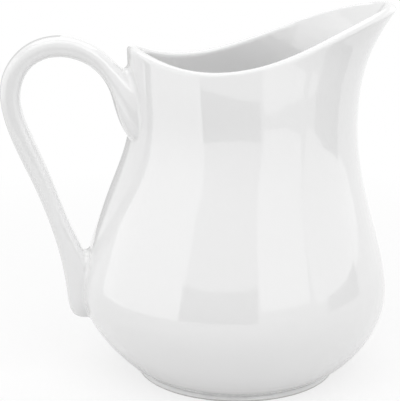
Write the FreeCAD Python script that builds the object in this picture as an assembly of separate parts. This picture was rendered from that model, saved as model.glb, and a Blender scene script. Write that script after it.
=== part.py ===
import FreeCAD, Part
import math
import os

# A glazed milk jug, slip-cast in one piece: a pear-shaped body on a low foot ring, a neck that is
# pulled out into a spout under a saddle-shaped rim, and an ear-shaped strap handle.
# Origin: centre of the foot ring on the surface that the jug stands on.
# +X points to the spout, -X to the handle, +Z up. Millimetres.

Vector = FreeCAD.Vector

# Wall, its softly squared lip, and floor
WALL = 3.2
LIP_SQUARENESS = 2.8
LIP_STEPS = 8
FLOOR_TOP = 6.0
FLOOR_RINGS = ((34.6, 7.9), (31.4, 6.5), (27.0, FLOOR_TOP))

# Foot ring: low, with a waist under the belly and rounded edges, round a shallow recess. Above its
# edge, the first few courses of the body make one face that ends under the belly.
FOOT_RADIUS = 32.9
FOOT_WAIST = 32.4
FOOT_HEIGHT = 1.3
FOOT_INNER_RADIUS = 27.4
FOOT_EDGE_ROUND = 0.5
FOOT_EDGE_STEPS = 3
FOOT_COURSES = 3
RECESS_DEPTH = 2.0
RECESS_ROUND = 1.2

# Outside of the body. Each station: height, reach towards the handle, reach towards the spout,
# half width. The lower half is close to round; above it the neck narrows and the front runs out.
BODY_STATIONS = (
    (FOOT_EDGE_ROUND, FOOT_RADIUS, FOOT_RADIUS, FOOT_RADIUS),
    (FOOT_HEIGHT, FOOT_WAIST, FOOT_WAIST, FOOT_WAIST),
    (2.7, 33.8, 33.9, 33.8),
    (5.5, 37.5, 37.9, 37.7),
    (13.5, 44.9, 44.8, 44.9),
    (27.5, 51.1, 49.1, 50.1),
    (41.0, 48.7, 47.2, 47.9),
    (54.5, 44.1, 43.5, 43.8),
    (68.0, 38.8, 40.3, 39.6),
    (81.5, 34.9, 38.8, 36.3),
    (95.0, 35.0, 39.7, 35.0),
    (107.0, 35.2, 43.5, 33.7),
    (118.0, 36.8, 50.4, 34.4),
    (126.0, 38.0, 56.2, 35.4),
)
RING_POINTS = 24
SETTLE_STEPS = 40
LEVEL_TOLERANCE = 0.01

# The spout: how much narrower than an ellipse the front of the mouth is, growing up the neck
PINCH_START = 88.0
PINCH_FULL = 122.0
PINCH = 0.06

# Height of the rim by distance along X: low over the neck, a little up at the handle, high at
# the tip of the spout
RIM_STATIONS = (
    (-48.0, 115.0),
    (-35.0, 107.4),
    (-25.0, 103.7),
    (-14.0, 102.5),
    (0.0, 104.1),
    (14.0, 108.0),
    (30.0, 113.6),
    (45.0, 118.2),
    (60.0, 121.0),
)
RIM_LOW = 102.5

# Rings of the wall: level up to a height, then leaning more and more until they follow the rim
LEVEL_TOP = 54.5
RIM_SHARES = (0.2, 0.4, 0.6, 0.78, 0.9, 0.97, 1.0)

# Handle. Each station is a cross-section: a point on its outer outline (x, z), the facing point
# on its inner outline (x, z), its width across the jug, and by how much of that width its flanks
# spread towards the inner outline, where the clay was worked onto the wall. The first one lies
# inside the jug, and the inner points of the last three lie in the wall.
HANDLE_STATIONS = (
    ((-31.0, 96.4), (-31.6, 76.0), 24.0, 0.2),
    ((-36.0, 99.9), (-35.6, 79.3), 20.4, 0.2),
    ((-40.8, 104.5), (-38.9, 86.7), 16.4, 0.2),
    ((-44.9, 107.7), (-41.1, 94.1), 14.2, 0.15),
    ((-50.4, 110.1), (-46.4, 101.2), 12.4, 0.05),
    ((-57.8, 111.0), (-56.4, 104.6), 11.2, 0.0),
    ((-66.4, 108.3), (-63.5, 102.6), 10.6, 0.0),
    ((-73.0, 101.2), (-67.3, 98.0), 10.4, 0.0),
    ((-74.9, 92.2), (-68.6, 91.2), 10.2, 0.0),
    ((-72.5, 80.8), (-66.5, 82.8), 10.0, 0.0),
    ((-66.0, 65.1), (-60.2, 67.4), 9.6, 0.0),
    ((-60.2, 49.1), (-54.0, 50.4), 9.2, 0.1),
    ((-57.2, 36.5), (-49.2, 36.6), 9.0, 0.7),
    ((-56.0, 27.6), (-49.6, 28.5), 8.6, 0.7),
    ((-55.2, 23.0), (-49.4, 25.0), 8.4, 0.6),
    ((-53.8, 20.7), (-49.0, 24.1), 8.2, 0.5),
    ((-51.4, 19.8), (-48.4, 23.6), 8.0, 0.5),
    ((-48.0, 19.5), (-47.4, 23.3), 8.0, 0.5),
)
HANDLE_SQUARENESS = 3.0
HANDLE_POINTS = 16
UPPER_ROOT_ROUND = 1.4
LOWER_ROOT_ROUND = 1.4
MID_HANDLE = 60.0


def spline(rows, parameters):
    """A smooth curve through points, each at its own parameter."""
    line = Part.BSplineCurve()
    line.interpolate(Points=rows, Parameters=parameters)
    return line


def column(rows, index):
    """The values of one column of a station table as a curve over the first column."""
    return spline([Vector(row[index], 0, 0) for row in rows], [row[0] for row in rows])


BACK, FRONT, HALF_WIDTH = (column(BODY_STATIONS, index) for index in (1, 2, 3))
RIM_HEIGHT = column(RIM_STATIONS, 1)
BODY_HEIGHTS = [row[0] for row in BODY_STATIONS]


def pinch(height):
    """Share by which the front of a section is narrowed, from nothing at the neck."""
    share = (height - PINCH_START) / (PINCH_FULL - PINCH_START)
    share = min(max(share, 0.0), 1.0)
    return PINCH * share * share * (3.0 - 2.0 * share)


def turn(count):
    """Evenly spaced angles round one turn."""
    return [2 * math.pi * i / count for i in range(count)]


def body_ring(height, inset=0.0):
    """The egg-shaped section of the body at a height, starting at the spout."""
    back, front, half = (line.value(height).x - inset for line in (BACK, FRONT, HALF_WIDTH))
    ring = []
    for angle in turn(RING_POINTS):
        x = (front - back) / 2 + (front + back) / 2 * math.cos(angle)
        y = half * math.sin(angle) * (1 - pinch(height) * math.cos(angle))
        ring.append(Vector(x, y, height))
    return ring


def closed_curve(ring):
    """The even closed cubic through a ring of points, one unit of parameter apart."""
    count = len(ring)
    poles = list(ring)
    for _ in range(SETTLE_STEPS):
        through = [(poles[i - 1] + poles[i] * 4 + poles[(i + 1) % count]) / 6 for i in range(count)]
        poles = [pole + target - point for pole, target, point in zip(poles, ring, through)]
    loop = Part.BSplineCurve()
    loop.buildFromPolesMultsKnots(
        poles[-1:] + poles[:-1], [1] * (count + 1), list(range(count + 1)), True, 3)
    return loop


def skin(rings, parameters):
    """A smooth tube through rings of points: each ring is closed first, then the rings joined."""
    loops = [closed_curve(ring) for ring in rings]
    runs = zip(*[loop.getPoles() for loop in loops])
    rows = [spline(list(run), parameters) for run in runs]
    surface = Part.BSplineSurface()
    surface.buildFromPolesMultsKnots(
        [row.getPoles() for row in rows],
        loops[0].getMultiplicities(), rows[0].getMultiplicities(),
        loops[0].getKnots(), rows[0].getKnots(),
        True, False, 3, 3)
    surface.setUNotPeriodic()
    return surface


def capped(surface, breaks=()):
    """The solid inside a tube whose two ends are flat, its side parted into bands at the breaks."""
    first_u, last_u, first_v, last_v = surface.bounds()
    stops = [first_v] + list(breaks) + [last_v]
    faces = []
    for low, high in zip(stops, stops[1:]):
        band = surface.copy()
        band.segment(first_u, last_u, low, high)
        faces.append(band.toShape())
    for stop in (first_v, last_v):
        faces.append(Part.Face(Part.Wire([surface.vIso(stop).toShape()])))
    shell = Part.makeShell(faces)
    shell.sewShape()
    return Part.Solid(shell)


def rim_base(surface, around):
    """The height on the outside, at a place round the jug, where the lip's rounding starts."""
    height = RIM_LOW
    for _ in range(SETTLE_STEPS):
        height = (height + RIM_HEIGHT.value(surface.value(around, height).x).x - WALL / 2) / 2
    return height


def level_ring(radius, height):
    """A level circle of points about the jug's axis."""
    return [Vector(radius * math.cos(a), radius * math.sin(a), height) for a in turn(RING_POINTS)]


def spacing(rings):
    """How far along a skin each of its rings lies, by the mean distance between them."""
    along = [0.0]
    for ring, following in zip(rings, rings[1:]):
        gaps = [point.distanceToPoint(other) for point, other in zip(ring, following)]
        along.append(along[-1] + sum(gaps) / len(gaps))
    return along


def foot_edge_rings():
    """The rounding of the foot ring's outer edge, from the face it stands on up to its side."""
    rings = []
    for step in range(FOOT_EDGE_STEPS):
        angle = math.pi / 2 * step / FOOT_EDGE_STEPS
        radius = FOOT_RADIUS - FOOT_EDGE_ROUND * (1 - math.sin(angle))
        rings.append(level_ring(radius, FOOT_EDGE_ROUND * (1 - math.cos(angle))))
    return rings


def squared(value, squareness):
    """A sine or cosine pushed outwards, which squares the corners of a circle by that much."""
    return math.copysign(abs(value) ** (2 / squareness), value)


def lip_rings(rim, normals):
    """The rounded lip, from the outside of the wall over to its inside."""
    rings = []
    for step in range(1, LIP_STEPS):
        angle = math.pi * step / LIP_STEPS
        ring = []
        for i, normal in enumerate(normals):
            along = rim[(i + 1) % RING_POINTS] - rim[i - 1]
            up = normal.cross(along).normalize()
            up = up * math.copysign(1, up.z)
            inwards = 1 - squared(math.cos(angle), LIP_SQUARENESS)
            upwards = squared(math.sin(angle), LIP_SQUARENESS)
            ring.append(rim[i] + (up * upwards - normal * inwards) * (WALL / 2))
        rings.append(ring)
    return rings


def make_wall():
    """The body with its hollow: one skin from the foot up the outside, over the lip and down."""
    surface = skin([body_ring(height) for height in BODY_HEIGHTS], BODY_HEIGHTS)
    places = range(RING_POINTS)
    bases = [rim_base(surface, around) for around in places]
    courses = [[height] * RING_POINTS for height in BODY_HEIGHTS if height <= LEVEL_TOP]
    for share in RIM_SHARES:
        courses.append([LEVEL_TOP + (base - LEVEL_TOP) * share for base in bases])
    outer = []
    inner = []
    for course in courses:
        points = [surface.value(around, height) for around, height in zip(places, course)]
        normals = [surface.normal(around, height) for around, height in zip(places, course)]
        outer.append(points)
        if course[0] > FLOOR_TOP:
            inner.append([point - normal * WALL for point, normal in zip(points, normals)])
    outer = foot_edge_rings() + outer
    floor = [level_ring(radius, height) for radius, height in FLOOR_RINGS]
    rings = outer + lip_rings(outer[-1], normals) + inner[::-1] + floor
    along = spacing(rings)
    lip_start = len(outer) - 1
    parted = (FOOT_EDGE_STEPS, FOOT_EDGE_STEPS + FOOT_COURSES, lip_start, lip_start + LIP_STEPS)
    return capped(skin(rings, along), [along[i] for i in parted])


def flat_loops(shape, height):
    """The edges of a shape that lie flat at a height."""
    level = [edge for edge in shape.Edges if edge.BoundBox.ZLength < LEVEL_TOLERANCE]
    return [edge for edge in level if abs(edge.BoundBox.ZMin - height) < LEVEL_TOLERANCE]


def make_recess():
    """The shallow hollow inside the foot ring, with a rounded inner corner."""
    disc = Part.makeCylinder(FOOT_INNER_RADIUS, 2 * RECESS_DEPTH, Vector(0, 0, -RECESS_DEPTH))
    return disc.makeFillet(RECESS_ROUND, flat_loops(disc, RECESS_DEPTH))


def handle_ring(outer, inner, width, spread):
    """A squared oval between a point of the outer outline and one of the inner outline."""
    top = Vector(outer[0], 0, outer[1])
    bottom = Vector(inner[0], 0, inner[1])
    middle = (top + bottom) / 2
    across = (top - bottom) / 2
    side = Vector(0, width / 2, 0)
    ring = []
    for angle in turn(HANDLE_POINTS):
        u = squared(math.cos(angle), HANDLE_SQUARENESS)
        v = squared(math.sin(angle), HANDLE_SQUARENESS)
        wider = 1 + spread * ((1 - u) / 2) ** 2
        ring.append(middle + across * u + side * (v * wider))
    return ring


def make_handle():
    """The strap handle, whose lower end turns into the wall, ending half way into the wall."""
    rings = [handle_ring(*row) for row in HANDLE_STATIONS]
    core = capped(skin([body_ring(height, WALL / 2) for height in BODY_HEIGHTS], BODY_HEIGHTS))
    return capped(skin(rings, spacing(rings))).cut(core)


def root_edge(shape, above):
    """The edge along which the handle meets the wall, at the root above or below mid-handle."""
    wall = max(shape.Faces, key=lambda face: face.Area)
    roots = [edge for edge in wall.Edges if edge.BoundBox.XMax < -FOOT_INNER_RADIUS]
    return [edge for edge in roots if (edge.CenterOfMass.z > MID_HANDLE) == above]


jug = make_wall().fuse(make_handle())
jug = jug.makeFillet(UPPER_ROOT_ROUND, root_edge(jug, True))
jug = jug.makeFillet(LOWER_ROOT_ROUND, root_edge(jug, False))
jug = jug.cut(make_recess())
foot_edges = sorted(flat_loops(jug, 0), key=lambda edge: edge.BoundBox.XMax)
jug = jug.makeFillet(FOOT_EDGE_ROUND, foot_edges[:1])

os.makedirs("parts", exist_ok=True)
jug.exportStep("parts/jug.step")
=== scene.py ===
import math

import bpy
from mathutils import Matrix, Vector


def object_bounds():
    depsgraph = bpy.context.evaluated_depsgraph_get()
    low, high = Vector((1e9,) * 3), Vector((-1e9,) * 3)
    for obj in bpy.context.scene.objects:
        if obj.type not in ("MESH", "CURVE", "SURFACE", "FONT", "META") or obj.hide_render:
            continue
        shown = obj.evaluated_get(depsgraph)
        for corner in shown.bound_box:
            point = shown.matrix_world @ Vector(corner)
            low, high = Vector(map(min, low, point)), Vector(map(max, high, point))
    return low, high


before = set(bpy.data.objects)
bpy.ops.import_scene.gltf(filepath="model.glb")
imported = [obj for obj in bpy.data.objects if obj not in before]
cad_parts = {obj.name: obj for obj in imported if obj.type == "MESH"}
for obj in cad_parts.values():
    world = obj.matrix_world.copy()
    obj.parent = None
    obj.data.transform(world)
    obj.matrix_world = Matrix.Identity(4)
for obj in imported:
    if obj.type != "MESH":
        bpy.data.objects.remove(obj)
cad_low, cad_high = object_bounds()

# A white glazed milk jug on a plain white floor, lit as in a small product studio: softboxes on
# both sides, overhead and behind, pale surroundings, and grey screens that the glaze mirrors.
# Lengths are in metres, and the azimuths and elevations in the tables in degrees.

# Camera: a little above the rim, turned a little towards the handle and aimed at the belly
CAMERA_AZIMUTH = math.radians(-8.6)
CAMERA_ELEVATION = math.radians(13.54)
CAMERA_DISTANCE = 0.359
CAMERA_AIM_DROP = 0.0032
CAMERA_LENS = 98.75
CAMERA_SENSOR = 36.0

# White to look at: a colour, and the strength of a glow or the grey of a matt surface
WHITE = (1.0, 1.0, 1.0, 1.0)
WHITE_LEVEL = 1.0

# Surroundings: white to look at, and how strongly they light the jug where white is 1
WORLD_LEVEL = 0.52

# Floor: a round table top, and the grey with which it lights the jug
FLOOR_RADIUS = 0.32
FLOOR_SIDES = 96
FLOOR_WHITE = 0.8

# How much of the floor's white comes from the light on it, which is what shows the jug's shadow:
# seen by the camera, and mirrored. From SHADOW_REACH out to the floor's edge this fades to none.
FLOOR_LIT_SEEN = 0.3
FLOOR_LIT_MIRRORED = 0.85
SHADOW_REACH = 0.2

# Softboxes: name, azimuth and elevation from the jug, distance, width, height and radiance,
# where 1 is white
SOFTBOXES = (
    ("softbox_left", -84.0, 15.0, 1.0, 1.5, 0.95, 0.5),
    ("softbox_right", 28.0, 25.0, 1.0, 0.7, 0.85, 0.5),
    ("softbox_far_right", 95.0, 20.0, 1.0, 2.0, 0.75, 0.35),
    ("softbox_top", -8.0, 60.0, 1.0, 1.3, 1.0, 0.98),
    ("softbox_back", 178.0, 60.0, 1.0, 1.0, 0.7, 0.7),
)

# Grey screens in front, on the right and behind the handle: first and last azimuth, distance,
# height of the top edge, and grey
SCREENS = (
    (-46.0, 6.0, 0.33, 0.112, 0.5),
    (60.0, 92.0, 0.85, 0.068, 0.8),
    (-178.0, -150.0, 0.85, 0.40, 0.85),
)
SCREEN_PANELS = 8
SCREEN_BOTTOM = -0.2

# Glaze and the bare clay under the foot ring
GLAZE_DARK = (0.90, 0.90, 0.90, 1.0)
GLAZE_LIGHT = (0.93, 0.93, 0.93, 1.0)
GLAZE_SMOOTHEST = 0.05
GLAZE_ROUGHEST = 0.10
GLAZE_IOR = 1.55
COAT_WEIGHT = 1.0
COAT_ROUGHNESS = 0.03
COAT_IOR = 1.5
CLAY_COLOUR = (0.74, 0.73, 0.71, 1.0)
CLAY_ROUGHNESS = 0.8
CLAY_TOP = 0.0004
CLAY_FADE = 0.0003

# Noise over the jug: scale per metre, and detail
CLOUDS = (35.0, 3.0)
SHEEN_PATCHES = (90.0, 2.0)
RIPPLES = (60.0, 1.0)
RIPPLE_STRENGTH = 0.25
RIPPLE_HEIGHT = 0.0003


def back_from(azimuth, elevation):
    """The direction from the jug towards something at an azimuth and an elevation."""
    flat = math.cos(elevation)
    return Vector((math.sin(azimuth) * flat, -math.cos(azimuth) * flat, math.sin(elevation)))


def make_camera(centre):
    """The camera, aimed just below the middle of the jug's box."""
    aim = centre - Vector((0.0, 0.0, CAMERA_AIM_DROP))
    back = back_from(CAMERA_AZIMUTH, CAMERA_ELEVATION)
    data = bpy.data.cameras.new("camera")
    data.lens = CAMERA_LENS
    data.sensor_width = CAMERA_SENSOR
    camera = bpy.data.objects.new("camera", data)
    camera.location = aim + back * CAMERA_DISTANCE
    camera.rotation_euler = (-back).to_track_quat("-Z", "Y").to_euler()
    bpy.context.scene.collection.objects.link(camera)
    bpy.context.scene.camera = camera


def make_softbox(name, azimuth, elevation, distance, width, height, radiance, centre):
    """A rectangular lamp facing the jug, whose power gives the radiance asked for."""
    back = back_from(math.radians(azimuth), math.radians(elevation))
    data = bpy.data.lights.new(name, "AREA")
    data.shape = "RECTANGLE"
    data.size = width
    data.size_y = height
    data.energy = radiance * math.pi * width * height
    lamp = bpy.data.objects.new(name, data)
    lamp.location = centre + back * distance
    lamp.rotation_euler = (-back).to_track_quat("-Z", "Y").to_euler()
    lamp.visible_camera = False
    bpy.context.scene.collection.objects.link(lamp)


def make_screen(first, last, distance, top, grey):
    """A curved grey screen between two azimuths, for the glaze to mirror."""
    material = bpy.data.materials.new("screen_grey")
    material.use_nodes = True
    nodes = material.node_tree.nodes
    nodes.clear()
    target = nodes.new("ShaderNodeOutputMaterial").inputs["Surface"]
    material.node_tree.links.new(matt(nodes, grey), target)
    corners = []
    for i in range(SCREEN_PANELS + 1):
        azimuth = first + (last - first) * i / SCREEN_PANELS
        post = back_from(math.radians(azimuth), 0.0) * distance
        corners.append((post.x, post.y, SCREEN_BOTTOM))
        corners.append((post.x, post.y, top))
    mesh = bpy.data.meshes.new("screen")
    panels = [(2 * i, 2 * i + 2, 2 * i + 3, 2 * i + 1) for i in range(SCREEN_PANELS)]
    mesh.from_pydata(corners, [], panels)
    mesh.materials.append(material)
    screen = bpy.data.objects.new("screen", mesh)
    screen.visible_camera = False
    bpy.context.scene.collection.objects.link(screen)


def larger(nodes, links, first, second):
    """The larger of two sockets."""
    node = nodes.new("ShaderNodeMath")
    node.operation = "MAXIMUM"
    links.new(first, node.inputs[0])
    links.new(second, node.inputs[1])
    return node.outputs[0]


def seen_directly(nodes, links):
    """A socket that is 1 for rays from the camera, mirrored rays and rays through glass."""
    path = nodes.new("ShaderNodeLightPath").outputs
    mirrored = larger(nodes, links, path["Is Glossy Ray"], path["Is Transmission Ray"])
    return larger(nodes, links, path["Is Camera Ray"], mirrored)


def white_glow(nodes, kind, strength):
    """An emission or background node of plain white."""
    node = nodes.new(kind)
    node.inputs["Color"].default_value = WHITE
    node.inputs["Strength"].default_value = strength
    return node.outputs[0]


def mixed(nodes, links, share, first, second):
    """The second shader by a share and the first by the rest."""
    node = nodes.new("ShaderNodeMixShader")
    links.new(share, node.inputs["Fac"])
    links.new(first, node.inputs[1])
    links.new(second, node.inputs[2])
    return node.outputs["Shader"]


def make_world():
    """Pale surroundings that are white to look at."""
    world = bpy.data.worlds.new("studio")
    world.use_nodes = True
    nodes = world.node_tree.nodes
    links = world.node_tree.links
    nodes.clear()
    lighting = white_glow(nodes, "ShaderNodeBackground", WORLD_LEVEL)
    backdrop = white_glow(nodes, "ShaderNodeBackground", WHITE_LEVEL)
    shown = mixed(nodes, links, seen_directly(nodes, links), lighting, backdrop)
    links.new(shown, nodes.new("ShaderNodeOutputWorld").inputs["Surface"])
    bpy.context.scene.world = world


def matt(nodes, grey):
    """A matt surface of a plain grey."""
    node = nodes.new("ShaderNodeBsdfDiffuse")
    node.inputs["Color"].default_value = (grey, grey, grey, 1.0)
    return node.outputs["BSDF"]


def make_floor_paint():
    """Pale paint that looks white and keeps the jug's shadow, which fades with distance."""
    material = bpy.data.materials.new("floor_paint")
    material.use_nodes = True
    nodes = material.node_tree.nodes
    links = material.node_tree.links
    nodes.clear()
    lit = nodes.new("ShaderNodeMix")
    lit.inputs["A"].default_value = FLOOR_LIT_MIRRORED
    lit.inputs["B"].default_value = FLOOR_LIT_SEEN
    links.new(nodes.new("ShaderNodeLightPath").outputs["Is Camera Ray"], lit.inputs["Factor"])
    glow = white_glow(nodes, "ShaderNodeEmission", WHITE_LEVEL)
    near = mixed(nodes, links, lit.outputs["Result"], glow, matt(nodes, WHITE_LEVEL))
    distance = nodes.new("ShaderNodeVectorMath")
    distance.operation = "LENGTH"
    links.new(nodes.new("ShaderNodeTexCoord").outputs["Object"], distance.inputs[0])
    fade = nodes.new("ShaderNodeMapRange")
    fade.inputs["From Min"].default_value = SHADOW_REACH
    fade.inputs["From Max"].default_value = FLOOR_RADIUS
    links.new(distance.outputs["Value"], fade.inputs["Value"])
    white = mixed(nodes, links, fade.outputs["Result"], near, glow)
    shown = mixed(nodes, links, seen_directly(nodes, links), matt(nodes, FLOOR_WHITE), white)
    links.new(shown, nodes.new("ShaderNodeOutputMaterial").inputs["Surface"])
    return material


def make_floor():
    """The round table top."""
    rim = [2 * math.pi * i / FLOOR_SIDES for i in range(FLOOR_SIDES)]
    mesh = bpy.data.meshes.new("floor")
    corners = [(FLOOR_RADIUS * math.cos(a), FLOOR_RADIUS * math.sin(a), 0.0) for a in rim]
    mesh.from_pydata(corners, [], [range(FLOOR_SIDES)])
    mesh.materials.append(make_floor_paint())
    floor = bpy.data.objects.new("floor", mesh)
    bpy.context.scene.collection.objects.link(floor)


def noise(nodes, links, place, scale, detail):
    """A noise texture in the jug's own space."""
    texture = nodes.new("ShaderNodeTexNoise")
    texture.inputs["Scale"].default_value = scale
    texture.inputs["Detail"].default_value = detail
    links.new(place, texture.inputs["Vector"])
    return texture.outputs["Fac"]


def ramp(nodes, links, source, low, high):
    """The source taken from 0..1 to low..high."""
    node = nodes.new("ShaderNodeMapRange")
    node.inputs["To Min"].default_value = low
    node.inputs["To Max"].default_value = high
    links.new(source, node.inputs["Value"])
    return node.outputs["Result"]


def make_glaze():
    """Thick white glaze over porcelain, worn off to bare clay where the foot ring stands."""
    material = bpy.data.materials.new("white_glaze")
    material.use_nodes = True
    nodes = material.node_tree.nodes
    links = material.node_tree.links
    shader = nodes["Principled BSDF"]
    place = nodes.new("ShaderNodeTexCoord").outputs["Object"]

    height = nodes.new("ShaderNodeSeparateXYZ")
    links.new(place, height.inputs["Vector"])
    bare = nodes.new("ShaderNodeMapRange")
    bare.inputs["From Min"].default_value = CLAY_TOP
    bare.inputs["From Max"].default_value = CLAY_TOP + CLAY_FADE
    bare.inputs["To Min"].default_value = 1.0
    bare.inputs["To Max"].default_value = 0.0
    links.new(height.outputs["Z"], bare.inputs["Value"])

    clouds = nodes.new("ShaderNodeMix")
    clouds.data_type = "RGBA"
    clouds.inputs["A"].default_value = GLAZE_DARK
    clouds.inputs["B"].default_value = GLAZE_LIGHT
    links.new(noise(nodes, links, place, *CLOUDS), clouds.inputs["Factor"])
    colour = nodes.new("ShaderNodeMix")
    colour.data_type = "RGBA"
    colour.inputs["B"].default_value = CLAY_COLOUR
    links.new(bare.outputs["Result"], colour.inputs["Factor"])
    links.new(clouds.outputs["Result"], colour.inputs["A"])
    links.new(colour.outputs["Result"], shader.inputs["Base Color"])

    patches = noise(nodes, links, place, *SHEEN_PATCHES)
    glossy = ramp(nodes, links, patches, GLAZE_SMOOTHEST, GLAZE_ROUGHEST)
    rough = nodes.new("ShaderNodeMix")
    rough.inputs["B"].default_value = CLAY_ROUGHNESS
    links.new(bare.outputs["Result"], rough.inputs["Factor"])
    links.new(glossy, rough.inputs["A"])
    links.new(rough.outputs["Result"], shader.inputs["Roughness"])

    waves = nodes.new("ShaderNodeBump")
    waves.inputs["Strength"].default_value = RIPPLE_STRENGTH
    waves.inputs["Distance"].default_value = RIPPLE_HEIGHT
    links.new(noise(nodes, links, place, *RIPPLES), waves.inputs["Height"])
    links.new(waves.outputs["Normal"], shader.inputs["Normal"])

    shader.inputs["IOR"].default_value = GLAZE_IOR
    shader.inputs["Coat Weight"].default_value = COAT_WEIGHT
    shader.inputs["Coat Roughness"].default_value = COAT_ROUGHNESS
    shader.inputs["Coat IOR"].default_value = COAT_IOR
    return material


centre = (cad_low + cad_high) / 2
bpy.context.scene.view_settings.view_transform = "Standard"
make_camera(centre)
make_world()
make_floor()
for row in SCREENS:
    make_screen(*row)
for row in SOFTBOXES:
    make_softbox(*row, centre)

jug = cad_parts["jug"]
jug.material_slots[0].material = make_glaze()
